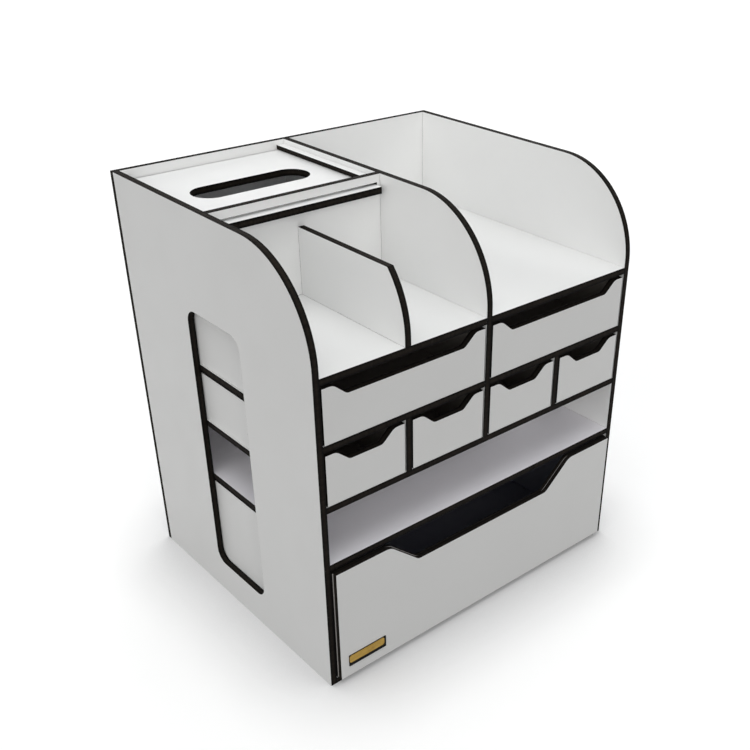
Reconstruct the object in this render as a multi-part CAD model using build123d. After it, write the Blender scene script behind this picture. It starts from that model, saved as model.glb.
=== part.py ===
from build123d import *

import os

# Hobby workstation organizer: an open-fronted board case with sliding drawers,
# an open shelf, a tissue compartment under a sliding lid, and open trays on top.
# Millimetres. +X is the right side, the front faces -Y, +Z is up.
# The origin is the bottom centre of the box around everything at rest.

# ---- driving sizes: boards and case ----
width = 350.0            # over the outer faces of the two side panels
depth = 287.0            # front edges of the case to the outer face of the back
board = 6.0              # stock of the case, the drawer walls and the lid
thin_board = 4.0         # stock of the drawer bottoms, the lid rails and the overlay
back_board = 5.0         # stock of the back
inner_front = 3.0        # stock of the big drawer's front behind its overlay

# ---- driving sizes: clear heights of the bays, from the bottom up ----
big_bay = 116.5
open_bay = 50.0
small_bay = 49.0
wide_bay = 51.0
top_bay = 87.0           # deck to the top edges

# ---- driving sizes: top compartments ----
front_post = 5.0         # straight front edge left between the deck and the arc
divider_rise = 59.0      # compartment divider above the deck
tissue_setback = 136.5   # case front to the front face of the tissue wall

# ---- driving sizes: side windows ----
window_setback = 100.0
window_width = 79.5
window_foot = 34.0       # below the window
window_head = 3.0        # top of the window below the upper face of the deck
window_radius = 12.0

# ---- driving sizes: tissue lid and its rails ----
rail_drop = 4.5          # top edges of the case down to the upper rails
rail_right = 8.3         # width of the rails on the centre divider
rail_left = 6.0          # width of the rails on the left side panel
lid_overhang = 7.5       # lid in front of the tissue wall when closed
lid_head_gap = 0.6       # lid to the upper rails
lid_foot_gap = 0.3       # lid to the lower rails
lid_side_gap = 0.4       # lid to each end of its slot
lid_back_gap = 0.5       # lid to the back panel
slot_end_wall = 3.5      # tissue wall left beside each end of the slot
slot_head_gap = 1.7      # slot above the lid
slot_foot_gap = 0.4      # slot below the lid
hole_length = 113.0      # round-ended hole that the tissues come out of
hole_width = 34.5
hole_inset = 56.7        # hole to the back edge of the lid

# ---- driving sizes: drawers ----
side_gap = 1.3           # drawer to each wall of its bay
big_side_gap = 1.0       # the same for the big drawer
foot_gap = 0.3           # drawer to the shelf below
head_gap = 2.8           # drawer to the shelf above
rear_gap = 4.5           # drawer to the back panel
notch_top = 10.4         # side edge of a front to the mouth of its finger notch
notch_foot = 22.7        # side edge of a front to the floor of its finger notch
notch_depth = 10.5
notch_mouth_radius = 9.0
notch_floor_radius = 6.0

# ---- driving sizes: overlay, the outer board on the front of the big drawer ----
overlay_ahead = 0.3      # rear face of the overlay ahead of the case front
overlay_side_gap = 2.1   # overlay to each wall of the bay
overlay_drop = 0.8       # lower edge of the overlay below the top of the base
big_notch_top = 56.9
big_notch_foot = 87.4
big_notch_depth = 26.5
big_mouth_radius = 13.0
big_floor_radius = 7.0
notch_step = 1.0         # inner front seen past each side of the overlay's notch

# ---- driving sizes: name plate on the big drawer ----
plate_inset = 8.5        # backing to the left edge of the overlay
plate_rise = 11.2        # backing to the lower edge of the overlay
backing_length = 40.0
backing_height = 11.6
backing_thickness = 1.0
plate_length = 37.8
plate_height = 7.6
plate_thickness = 0.5
plate_corner = 1.2       # corner cut of the plate

# ---- derived positions ----
overlay_front = overlay_ahead + thin_board
proud = overlay_front + backing_thickness + plate_thickness
front = proud / 2 - depth / 2
back = front + depth
inner_back = back - back_board
right = width / 2
left = -right
wall_right = right - board
wall_left = -wall_right
post_right = board / 2
post_left = -post_right

lower_shelf_z = board + big_bay
open_floor = lower_shelf_z + board
middle_shelf_z = open_floor + open_bay
small_floor = middle_shelf_z + board
upper_shelf_z = small_floor + small_bay
wide_floor = upper_shelf_z + board
deck_z = wide_floor + wide_bay
deck_top = deck_z + board
height = deck_top + top_bay
arc_radius = top_bay - front_post

overlay_z = board - overlay_drop
big_notch = (big_notch_depth, big_mouth_radius, big_floor_radius)

half_bay = wall_right - post_right
half_centre = (wall_right + post_right) / 2
small_bay_width = (half_bay - board) / 2

tissue_front = front + tissue_setback
tissue_back = tissue_front + board
upper_rail_z = height - rail_drop - thin_board
lid_top = upper_rail_z - lid_head_gap
lid_z = lid_top - board
lower_rail_z = lid_z - lid_foot_gap - thin_board
slot_left = wall_left + slot_end_wall
slot_right = post_left - slot_end_wall
slot_z = lid_z - slot_foot_gap
slot_top = lid_top + slot_head_gap
lid_front = tissue_front - lid_overhang
lid_back = inner_back - lid_back_gap

pieces = {}


def block(x0, x1, y0, y1, z0, z1):
    """Board with its faces square to the axes."""
    corner = (Align.MIN, Align.MIN, Align.MIN)
    return Pos(x0, y0, z0) * Box(x1 - x0, y1 - y0, z1 - z0, align=corner)


def rectangle(u0, u1, v0, v1):
    """Flat rectangle between two corners of a sketch plane."""
    return Pos((u0 + u1) / 2, (v0 + v1) / 2) * Rectangle(u1 - u0, v1 - v0)


def upright_side(sketch, x0):
    """One board's thickness of a (y, z) sketch, starting at x0."""
    return extrude(Plane.YZ.offset(x0) * sketch, amount=board)


def upright_front(sketch, y1, thickness):
    """A (x, z) sketch made into a board whose rear face is at y1."""
    return extrude(Plane.XZ.offset(-y1) * sketch, amount=thickness)


def arced(z0):
    """Side outline from z0 up, with the front top corner rounded to the arc."""
    outline = rectangle(front, inner_back, z0, height)
    corner = outline.vertices().group_by(Axis.Y)[-1].sort_by(Axis.X)[0]
    return fillet(corner, arc_radius)


def side_panels():
    """Two full-height sides, each with a tall round-cornered window."""
    window = rectangle(
        front + window_setback,
        front + window_setback + window_width,
        window_foot,
        deck_top - window_head,
    )
    window = fillet(window.vertices(), window_radius)
    outline = arced(0) - window
    pieces["left_side_panel"] = upright_side(outline, left)
    pieces["right_side_panel"] = upright_side(outline, wall_right)


def shelves():
    """Base, shelves and decks between the sides, and the back over everything."""
    pieces["base_panel"] = block(wall_left, wall_right, front, inner_back, 0, board)
    for name, z in (("lower_shelf", lower_shelf_z), ("middle_shelf", middle_shelf_z)):
        pieces[name] = block(wall_left, wall_right, front, inner_back, z, z + board)
    for name, z in (("upper_shelf", upper_shelf_z), ("deck", deck_z)):
        pieces[name + "_left"] = block(wall_left, post_left, front, inner_back, z, z + board)
        pieces[name + "_right"] = block(post_right, wall_right, front, inner_back, z, z + board)
    pieces["back_panel"] = block(left, right, inner_back, back, 0, height)


def dividers():
    """Upright boards: the arced centre divider and the two between small drawers."""
    pieces["centre_divider"] = upright_side(arced(small_floor), post_left)
    for name, x in (("left", -half_centre), ("right", half_centre)):
        pieces["small_divider_" + name] = block(
            x - board / 2, x + board / 2, front, inner_back, small_floor, upper_shelf_z
        )


def top_compartments():
    """Slotted wall of the tissue compartment and the divider in front of it."""
    wall = rectangle(wall_left, post_left, deck_top, height)
    slot = rectangle(slot_left, slot_right, slot_z, slot_top)
    pieces["tissue_front_wall"] = upright_front(wall - slot, tissue_back, board)
    reach = rectangle(front, tissue_front, deck_top, deck_top + divider_rise)
    outline = arced(deck_top - front_post) & reach
    pieces["compartment_divider"] = upright_side(outline, -half_centre - board / 2)


def lid_and_rails():
    """Sliding lid with a round-ended hole, between an upper and a lower rail pair."""
    for name, z in (("upper", upper_rail_z), ("lower", lower_rail_z)):
        pieces[name + "_rail_left"] = block(
            wall_left, wall_left + rail_left, tissue_back, inner_back, z, z + thin_board
        )
        pieces[name + "_rail_right"] = block(
            post_left - rail_right, post_left, tissue_back, inner_back, z, z + thin_board
        )
    outline = rectangle(slot_left + lid_side_gap, slot_right - lid_side_gap, lid_front, lid_back)
    hole_centre = lid_back - hole_inset - hole_width / 2
    hole = Pos(-half_centre, hole_centre) * SlotOverall(hole_length, hole_width)
    pieces["tissue_lid"] = extrude(Pos(0, 0, lid_z) * (outline - hole), amount=board)


def notched(x0, x1, z0, z1, mouth, floor, drop, mouth_radius, floor_radius):
    """Drawer front outline with a tapered, rounded finger notch in its top edge."""
    notch = Polygon(
        (x0 + mouth, z1),
        (x0 + floor, z1 - drop),
        (x1 - floor, z1 - drop),
        (x1 - mouth, z1),
        align=None,
    )
    outline = rectangle(x0, x1, z0, z1) - notch
    inner = outline.vertices().filter_by(lambda v: x0 < v.X - mouth / 2 and v.X + mouth / 2 < x1)
    outline = fillet(inner.sort_by(Axis.Y)[2:], mouth_radius)
    inner = outline.vertices().filter_by(lambda v: x0 < v.X - mouth / 2 and v.X + mouth / 2 < x1)
    return fillet(inner.sort_by(Axis.Y)[:2], floor_radius)


def drawer(name, x0, x1, z0, z1, gap, stock, ahead, notch):
    """Open box of five boards inside the bay x0..x1, z0..z1, its front of the given stock."""
    x0, x1 = x0 + gap, x1 - gap
    z0, z1 = z0 + foot_gap, z1 - head_gap
    inside = front - ahead + stock
    rear = inner_back - rear_gap
    pieces[name + "_front"] = upright_front(notched(x0, x1, z0, z1, *notch), inside, stock)
    pieces[name + "_left"] = block(x0, x0 + board, inside, rear, z0, z1)
    pieces[name + "_right"] = block(x1 - board, x1, inside, rear, z0, z1)
    pieces[name + "_back"] = block(x0 + board, x1 - board, rear - board, rear, z0, z1)
    pieces[name + "_bottom"] = block(
        x0 + board, x1 - board, inside, rear - board, z0, z0 + thin_board
    )


def drawers():
    """Wide pair, small row of four and the big one."""
    notch = (notch_top, notch_foot, notch_depth, notch_mouth_radius, notch_floor_radius)
    for name, x0, x1 in (("left", wall_left, post_left), ("right", post_right, wall_right)):
        drawer("wide_drawer_" + name, x0, x1, wide_floor, deck_z, side_gap, board, 0, notch)
    starts = (
        wall_left,
        post_left - small_bay_width,
        post_right,
        wall_right - small_bay_width,
    )
    for number, x in enumerate(starts, start=1):
        name = "small_drawer_" + str(number)
        bay = (x, x + small_bay_width, small_floor, upper_shelf_z)
        drawer(name, *bay, side_gap, board, 0, notch)
    shift = overlay_side_gap - big_side_gap + notch_step
    notch = (big_notch_top + shift, big_notch_foot + shift, *big_notch)
    bay = (wall_left, wall_right, board, lower_shelf_z)
    drawer("big_drawer", *bay, big_side_gap, inner_front, overlay_ahead, notch)


def overlay():
    """Outer board of the big front, standing ahead of the case."""
    x0 = wall_left + overlay_side_gap
    x1 = wall_right - overlay_side_gap
    notch = (big_notch_top, big_notch_foot, *big_notch)
    outline = notched(x0, x1, overlay_z, lower_shelf_z - head_gap, *notch)
    pieces["big_drawer_overlay"] = upright_front(outline, front - overlay_ahead, thin_board)


def name_plate():
    """Bare metal plate on a dark backing, low on the left of the overlay."""
    face = front - overlay_front
    x0 = wall_left + overlay_side_gap + plate_inset
    z0 = overlay_z + plate_rise
    z1 = z0 + backing_height
    x1 = x0 + backing_length
    pieces["name_plate_backing"] = block(x0, x1, face - backing_thickness, face, z0, z1)
    outline = rectangle(x0, x0 + plate_length, z1 - plate_height, z1)
    outline = chamfer(outline.vertices(), plate_corner)
    rear = face - backing_thickness
    pieces["name_plate"] = upright_front(outline, rear, plate_thickness)


side_panels()
shelves()
dividers()
top_compartments()
lid_and_rails()
drawers()
overlay()
name_plate()

os.makedirs("parts", exist_ok=True)
for name, solid in pieces.items():
    export_step(solid, "parts/" + name + ".step")
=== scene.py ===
import math

import bpy
from mathutils import Matrix, Vector


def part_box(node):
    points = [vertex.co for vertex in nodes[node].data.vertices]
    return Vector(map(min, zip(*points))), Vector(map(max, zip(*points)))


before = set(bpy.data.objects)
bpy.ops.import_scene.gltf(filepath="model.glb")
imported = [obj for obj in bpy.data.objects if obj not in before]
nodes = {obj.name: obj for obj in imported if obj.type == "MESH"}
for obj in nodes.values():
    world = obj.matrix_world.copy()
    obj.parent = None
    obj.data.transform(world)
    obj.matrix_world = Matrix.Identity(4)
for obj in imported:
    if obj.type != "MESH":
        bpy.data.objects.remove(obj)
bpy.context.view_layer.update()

# ---------------------------------------------------------------- node helpers

# Sockets of a colour Mix node, which share their names with its other types.
MIX_FACTOR, MIX_A, MIX_B, MIX_RESULT = 0, 6, 7, 2


def new_material(name):
    """Empty node material with a principled shader and an output."""
    mat = bpy.data.materials.new(name)
    mat.use_nodes = True
    tree = mat.node_tree
    tree.nodes.clear()
    out = tree.nodes.new("ShaderNodeOutputMaterial")
    shader = tree.nodes.new("ShaderNodeBsdfPrincipled")
    tree.links.new(shader.outputs["BSDF"], out.inputs["Surface"])
    return mat, tree, shader, out


def noise(tree, vector, scale, detail=2.0, rough=0.5):
    """Grey noise between 0 and 1."""
    node = tree.nodes.new("ShaderNodeTexNoise")
    node.inputs["Scale"].default_value = scale
    node.inputs["Detail"].default_value = detail
    node.inputs["Roughness"].default_value = rough
    tree.links.new(vector, node.inputs["Vector"])
    return node.outputs["Fac"]


def remap(tree, value, from_min, from_max, to_min, to_max):
    """The value moved from one range to another, and held inside it."""
    node = tree.nodes.new("ShaderNodeMapRange")
    node.inputs["From Min"].default_value = from_min
    node.inputs["From Max"].default_value = from_max
    node.inputs["To Min"].default_value = to_min
    node.inputs["To Max"].default_value = to_max
    tree.links.new(value, node.inputs["Value"])
    return node.outputs["Result"]


def larger(tree, a, b):
    node = tree.nodes.new("ShaderNodeMath")
    node.operation = "MAXIMUM"
    tree.links.new(a, node.inputs[0])
    tree.links.new(b, node.inputs[1])
    return node.outputs["Value"]


def mix_colour(tree, factor, a, b):
    """Blend of two colours, each a socket or a plain colour."""
    node = tree.nodes.new("ShaderNodeMix")
    node.data_type = "RGBA"
    tree.links.new(factor, node.inputs[MIX_FACTOR])
    for place, value in ((MIX_A, a), (MIX_B, b)):
        if isinstance(value, bpy.types.NodeSocket):
            tree.links.new(value, node.inputs[place])
        else:
            node.inputs[place].default_value = (*value, 1.0)
    return node.outputs[MIX_RESULT]


def bump(tree, shader, height, strength, distance):
    node = tree.nodes.new("ShaderNodeBump")
    node.inputs["Strength"].default_value = strength
    node.inputs["Distance"].default_value = distance
    tree.links.new(height, node.inputs["Height"])
    tree.links.new(node.outputs["Normal"], shader.inputs["Normal"])


def coords(tree, kind="Object"):
    return tree.nodes.new("ShaderNodeTexCoord").outputs[kind]


def stretched(tree, vector, scale):
    node = tree.nodes.new("ShaderNodeMapping")
    node.inputs["Scale"].default_value = scale
    tree.links.new(vector, node.inputs["Vector"])
    return node.outputs["Vector"]


def split(tree, vector):
    node = tree.nodes.new("ShaderNodeSeparateXYZ")
    tree.links.new(vector, node.inputs["Vector"])
    return node.outputs


def shown_or_lighting(tree, lighting, shown):
    """One shader for what the camera and gloss see, and another for the light it gives."""
    path = tree.nodes.new("ShaderNodeLightPath")
    direct = larger(tree, path.outputs["Is Camera Ray"], path.outputs["Is Glossy Ray"])
    direct = larger(tree, direct, path.outputs["Is Transmission Ray"])
    mix = tree.nodes.new("ShaderNodeMixShader")
    tree.links.new(direct, mix.inputs[0])
    tree.links.new(lighting.outputs[0], mix.inputs[1])
    tree.links.new(shown.outputs[0], mix.inputs[2])
    return mix.outputs[0]


# ------------------------------------------------------------------- materials


def laminate(name, base, tint, rough):
    """Board face: faint clouding, fine pebbled grain and uneven sheen."""
    mat, tree, shader, _ = new_material(name)
    at = coords(tree)
    cloud = noise(tree, at, 9.0, 3.0, 0.55)
    speck = noise(tree, at, 900.0, 2.0, 0.6)
    colour = mix_colour(tree, remap(tree, cloud, 0.3, 0.7, 0.0, 1.0), base, tint)
    pale = tuple(min(1.0, c * 1.03) for c in base)
    colour = mix_colour(tree, remap(tree, speck, 0.55, 0.75, 0.0, 0.35), colour, pale)
    tree.links.new(colour, shader.inputs["Base Color"])
    sheen = noise(tree, at, 35.0, 3.0)
    uneven = remap(tree, sheen, 0.3, 0.7, rough - 0.05, rough + 0.07)
    tree.links.new(uneven, shader.inputs["Roughness"])
    shader.inputs["Specular IOR Level"].default_value = 0.35
    bump(tree, shader, noise(tree, at, 1600.0, 3.0, 0.6), 0.10, 0.0002)
    return mat


# Colour through a board's thickness, from one face to the other.
FACE_SHEET = (0.0012, 0.0011, 0.0010)
SHEET_FOOT = (0.0014, 0.0013, 0.0012)
CORE_SIDE = (0.0085, 0.0068, 0.0054)
CORE_MIDDLE = (0.0200, 0.0155, 0.0120)
EDGE_STOPS = (
    (0.0, FACE_SHEET),
    (0.17, SHEET_FOOT),
    (0.27, CORE_SIDE),
    (0.52, CORE_MIDDLE),
    (0.75, CORE_SIDE),
    (0.84, SHEET_FOOT),
    (1.0, FACE_SHEET),
)
CHAR = (0.0020, 0.0018, 0.0016)
SCORCH = (0.020, 0.014, 0.010)


def cut_edge(axis):
    """Laser-cut edge: charred core between two black face sheets, with burn striations."""
    mat, tree, shader, _ = new_material("cut_edge_" + "xyz"[axis])
    across = split(tree, coords(tree, "Generated"))[axis]
    ramp = tree.nodes.new("ShaderNodeValToRGB")
    elements = ramp.color_ramp.elements
    while len(elements) < len(EDGE_STOPS):
        elements.new(0.5)
    for element, (place, colour) in zip(elements, EDGE_STOPS):
        element.position = place
        element.color = (*colour, 1.0)
    tree.links.new(across, ramp.inputs["Fac"])
    at = coords(tree)
    scale = [620.0, 620.0, 620.0]
    scale[axis] = 45.0
    burn = noise(tree, stretched(tree, at, scale), 1.0, 3.0, 0.6)
    patch = noise(tree, at, 60.0, 3.0, 0.5)
    burnt = remap(tree, burn, 0.35, 0.7, 0.0, 0.65)
    dark = mix_colour(tree, burnt, ramp.outputs["Color"], CHAR)
    warm = mix_colour(tree, remap(tree, patch, 0.5, 0.75, 0.0, 0.25), dark, SCORCH)
    tree.links.new(warm, shader.inputs["Base Color"])
    tree.links.new(remap(tree, burn, 0.3, 0.7, 0.70, 0.9), shader.inputs["Roughness"])
    shader.inputs["Specular IOR Level"].default_value = 0.08
    bump(tree, shader, burn, 0.35, 0.0003)
    return mat


def brass():
    """Brushed brass sheet with fine lengthwise scratches."""
    mat, tree, shader, _ = new_material("brushed_brass")
    at = coords(tree)
    brushed = noise(tree, stretched(tree, at, (60.0, 60.0, 3200.0)), 1.0, 4.0, 0.65)
    stain = noise(tree, at, 120.0, 3.0, 0.5)
    streaks = remap(tree, brushed, 0.3, 0.7, 0.0, 1.0)
    colour = mix_colour(tree, streaks, (0.34, 0.205, 0.040), (0.56, 0.37, 0.095))
    stained = remap(tree, stain, 0.5, 0.8, 0.0, 0.6)
    colour = mix_colour(tree, stained, colour, (0.22, 0.12, 0.025))
    tree.links.new(colour, shader.inputs["Base Color"])
    shader.inputs["Metallic"].default_value = 1.0
    tree.links.new(remap(tree, brushed, 0.3, 0.7, 0.28, 0.46), shader.inputs["Roughness"])
    bump(tree, shader, brushed, 0.25, 0.00008)
    return mat


def backing():
    """Black backing sheet under the plate."""
    mat, tree, shader, _ = new_material("backing_black")
    grain = noise(tree, coords(tree), 1400.0, 3.0, 0.6)
    colour = mix_colour(tree, grain, (0.0012, 0.0012, 0.0012), (0.004, 0.0038, 0.0036))
    tree.links.new(colour, shader.inputs["Base Color"])
    tree.links.new(remap(tree, grain, 0.3, 0.7, 0.55, 0.7), shader.inputs["Roughness"])
    shader.inputs["Specular IOR Level"].default_value = 0.1
    bump(tree, shader, grain, 0.2, 0.0001)
    return mat


white = laminate("laminate_white", (0.880, 0.884, 0.880), (0.858, 0.861, 0.856), 0.42)
# Painted shade: dark blue-grey face for the inside of the big drawer and the tissue compartment,
# in place of the shade that falls inside them.
painted_shade_inside = laminate("painted_shade_inside_laminate", (0.235, 0.238, 0.285), (0.215, 0.219, 0.268), 0.55)
# Painted shade: dark brown face for the inside of the wide and small drawers, in place of the
# shade that falls inside them.
reverse = laminate("board_reverse", (0.175, 0.160, 0.148), (0.150, 0.135, 0.122), 0.60)
# Painted shade: the open shelf's white dimmed and tinted blue for the shade inside the shelf.
painted_shade_shelf = laminate("painted_shade_shelf_laminate", (0.862, 0.846, 0.884), (0.842, 0.826, 0.866), 0.42)
# Painted shade: mid grey for the strip of the big drawer's inner front that shows in the gap
# behind its overlay.
painted_shade_strip = laminate("painted_shade_strip_laminate", (0.445, 0.425, 0.412), (0.405, 0.385, 0.372), 0.55)
edges = [cut_edge(axis) for axis in range(3)]
sheets = {"name_plate": brass(), "name_plate_backing": backing()}

# ---------------------------------------------------------- boards and dressing

FACE_SLOT, EDGE_SLOT, PAINTED_SHADE_SLOT = 0, 1, 2

# Faces painted darker than the white of the rest, as painted shade: the open shelf, and the
# board that shows only as a narrow strip behind the big drawer's overlay.
PAINTED_SHADE_FACES = {"lower_shelf": painted_shade_shelf, "big_drawer_front": painted_shade_strip}

# Direction in which each board of a drawer looks into it.
INWARD = {
    "_front": (0, 1, 0),
    "_back": (0, -1, 0),
    "_left": (1, 0, 0),
    "_right": (-1, 0, 0),
    "_bottom": (0, 0, 1),
}

SQUARE_ON = 0.9          # least part of a normal along an axis for it to face that way
WELD_DISTANCE = 0.00001
ARRIS_WIDTH = 0.00022
ARRIS_SEGMENTS = 2
ARRIS_ANGLE = math.radians(40)


def thin_axis(name):
    """Axis of the board's thickness."""
    lo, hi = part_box(name)
    size = [b - a for a, b in zip(lo, hi)]
    return size.index(min(size))


def inward_side(name):
    """Direction of the face that looks into a drawer or into the tissue compartment."""
    if name == "tissue_front_wall":
        return Vector((0, 1, 0))
    if name == "tissue_lid":
        return Vector((0, 0, -1))
    if "_drawer_" in name:
        for end, side in INWARD.items():
            if name.endswith(end):
                return Vector(side)
    return None


def dress_board(name, obj):
    """Face sheets on the two broad sides, painted shade on the faces that look inside, charred
    edges elsewhere, fine dark arrises.
    """
    axis = thin_axis(name)
    inward = inward_side(name)
    mesh = obj.data
    mesh.materials.clear()
    # Painted shade: faces that look into the wide and small drawers get a dark brown face, the
    # rest that look inside a dark blue-grey one.
    inside = reverse if name.startswith(("wide_", "small_drawer")) else painted_shade_inside
    for mat in (PAINTED_SHADE_FACES.get(name, white), edges[axis], inside):
        mesh.materials.append(mat)
    for poly in mesh.polygons:
        if abs(poly.normal[axis]) < SQUARE_ON:
            poly.material_index = EDGE_SLOT
        elif inward is not None and poly.normal.dot(inward) > SQUARE_ON:
            poly.material_index = PAINTED_SHADE_SLOT
        else:
            poly.material_index = FACE_SLOT
    weld = obj.modifiers.new("weld", "WELD")
    weld.merge_threshold = WELD_DISTANCE
    bevel = obj.modifiers.new("arris", "BEVEL")
    bevel.width = ARRIS_WIDTH
    bevel.segments = ARRIS_SEGMENTS
    bevel.limit_method = "ANGLE"
    bevel.angle_limit = ARRIS_ANGLE
    bevel.material = EDGE_SLOT


for name, obj in nodes.items():
    if name in sheets:
        obj.data.materials.clear()
        obj.data.materials.append(sheets[name])
    else:
        dress_board(name, obj)

# ------------------------------------------------------------- floor and lights

FLOOR_REACH = 30.0
CONTACT_REACH = 0.09     # how far from the object its painted contact shadow goes
CONTACT_SAMPLES = 12
CONTACT_SHADE = (0.57, 0.57, 0.575)
FLOOR_LIFT = 0.155       # glow that brings the far floor up to white for the camera
FLOOR_BOUNCE = (0.12, 0.12, 0.12, 1.0)
AMBIENT_COLOUR = (0.965, 0.975, 1.0, 1.0)
AMBIENT_STRENGTH = 0.28
PAPER_WHITE = (1.0, 1.0, 1.0, 1.0)


def floor_material():
    """Pale floor: white to the camera and to gloss, with painted shadow near the object, a plain
    grey bounce for the rest.
    """
    mat, tree, shader, out = new_material("floor")
    tree.nodes.remove(shader)
    shown = tree.nodes.new("ShaderNodeBsdfDiffuse")
    grain = noise(tree, coords(tree), 300.0, 2.0, 0.5)
    paper = mix_colour(tree, grain, (0.985, 0.985, 0.985), (1.0, 1.0, 1.0))
    # Painted shadow: the floor's colour is darkened towards CONTACT_SHADE where the object hems
    # it in.
    contact = tree.nodes.new("ShaderNodeAmbientOcclusion")
    contact.samples = CONTACT_SAMPLES
    contact.inputs["Distance"].default_value = CONTACT_REACH
    openness = remap(tree, contact.outputs["AO"], 0.5, 1.0, 0.0, 1.0)
    tree.links.new(mix_colour(tree, openness, CONTACT_SHADE, paper), shown.inputs["Color"])
    lift = tree.nodes.new("ShaderNodeEmission")
    lift.inputs["Strength"].default_value = FLOOR_LIFT
    seen = tree.nodes.new("ShaderNodeAddShader")
    tree.links.new(shown.outputs[0], seen.inputs[0])
    tree.links.new(lift.outputs[0], seen.inputs[1])
    bounce = tree.nodes.new("ShaderNodeBsdfDiffuse")
    bounce.inputs["Color"].default_value = FLOOR_BOUNCE
    tree.links.new(shown_or_lighting(tree, bounce, seen), out.inputs["Surface"])
    return mat


corners = [(x * FLOOR_REACH, y * FLOOR_REACH, 0) for x, y in ((-1, -1), (1, -1), (1, 1), (-1, 1))]
floor_mesh = bpy.data.meshes.new("floor")
floor_mesh.from_pydata(corners, [], [(0, 1, 2, 3)])
floor = bpy.data.objects.new("floor", floor_mesh)
floor_mesh.materials.append(floor_material())
bpy.context.scene.collection.objects.link(floor)

world = bpy.data.worlds.new("studio")
bpy.context.scene.world = world
world.use_nodes = True
tree = world.node_tree
tree.nodes.clear()
out = tree.nodes.new("ShaderNodeOutputWorld")
ambient = tree.nodes.new("ShaderNodeBackground")
ambient.inputs["Color"].default_value = AMBIENT_COLOUR
ambient.inputs["Strength"].default_value = AMBIENT_STRENGTH
paper = tree.nodes.new("ShaderNodeBackground")
paper.inputs["Color"].default_value = PAPER_WHITE
paper.inputs["Strength"].default_value = 1.0
tree.links.new(shown_or_lighting(tree, ambient, paper), out.inputs["Surface"])


def sun(name, strength, spread, direction, colour):
    """Very soft distant light that shines along a direction, with its spread in degrees."""
    lamp = bpy.data.lights.new(name, "SUN")
    lamp.energy = strength
    lamp.angle = math.radians(spread)
    lamp.color = colour
    obj = bpy.data.objects.new(name, lamp)
    obj.rotation_euler = Vector(direction).to_track_quat("-Z", "Y").to_euler()
    bpy.context.scene.collection.objects.link(obj)


sun("overhead", 1.33, 60.0, (0.0, 0.0, -1.0), (0.99, 1.0, 0.995))
sun("left_window", 0.90, 60.0, (0.95, 0.18, -0.26), (1.0, 0.99, 0.965))
sun("front_fill", 0.98, 60.0, (0.36, 0.90, -0.26), (1.0, 0.985, 0.955))
sun("rear_fill", 0.80, 60.0, (-0.80, -0.57, -0.18), (1.0, 1.0, 1.0))

# ----------------------------------------------------------------------- camera

FRAME_PX = 750           # width and height of the photograph
SENSOR_MM = 36.0
FOCAL_PX = 1004.945
PRINCIPAL = (443.381, 450.442)
YAW, PITCH, ROLL = (math.radians(a) for a in (41.9352, 31.5512, 0.7767))
CAMERA_AT = (-0.528755, -0.674963, 0.630141)

forward = Vector((
    math.sin(YAW) * math.cos(PITCH),
    math.cos(YAW) * math.cos(PITCH),
    -math.sin(PITCH),
))
level = Vector((math.cos(YAW), -math.sin(YAW), 0.0))
upward = level.cross(forward)
side = math.cos(ROLL) * level + math.sin(ROLL) * upward
top = -math.sin(ROLL) * level + math.cos(ROLL) * upward
turn = Matrix((side, top, -forward)).transposed().to_4x4()

lens = bpy.data.cameras.new("camera")
lens.sensor_width = SENSOR_MM
lens.lens = FOCAL_PX / FRAME_PX * SENSOR_MM
lens.shift_x = -(PRINCIPAL[0] - FRAME_PX / 2) / FRAME_PX
lens.shift_y = (PRINCIPAL[1] - FRAME_PX / 2) / FRAME_PX
lens.clip_start = 0.05
lens.clip_end = 200.0
camera = bpy.data.objects.new("camera", lens)
camera.matrix_world = Matrix.Translation(CAMERA_AT) @ turn
bpy.context.scene.collection.objects.link(camera)
bpy.context.scene.camera = camera

bpy.context.scene.view_settings.view_transform = "Standard"
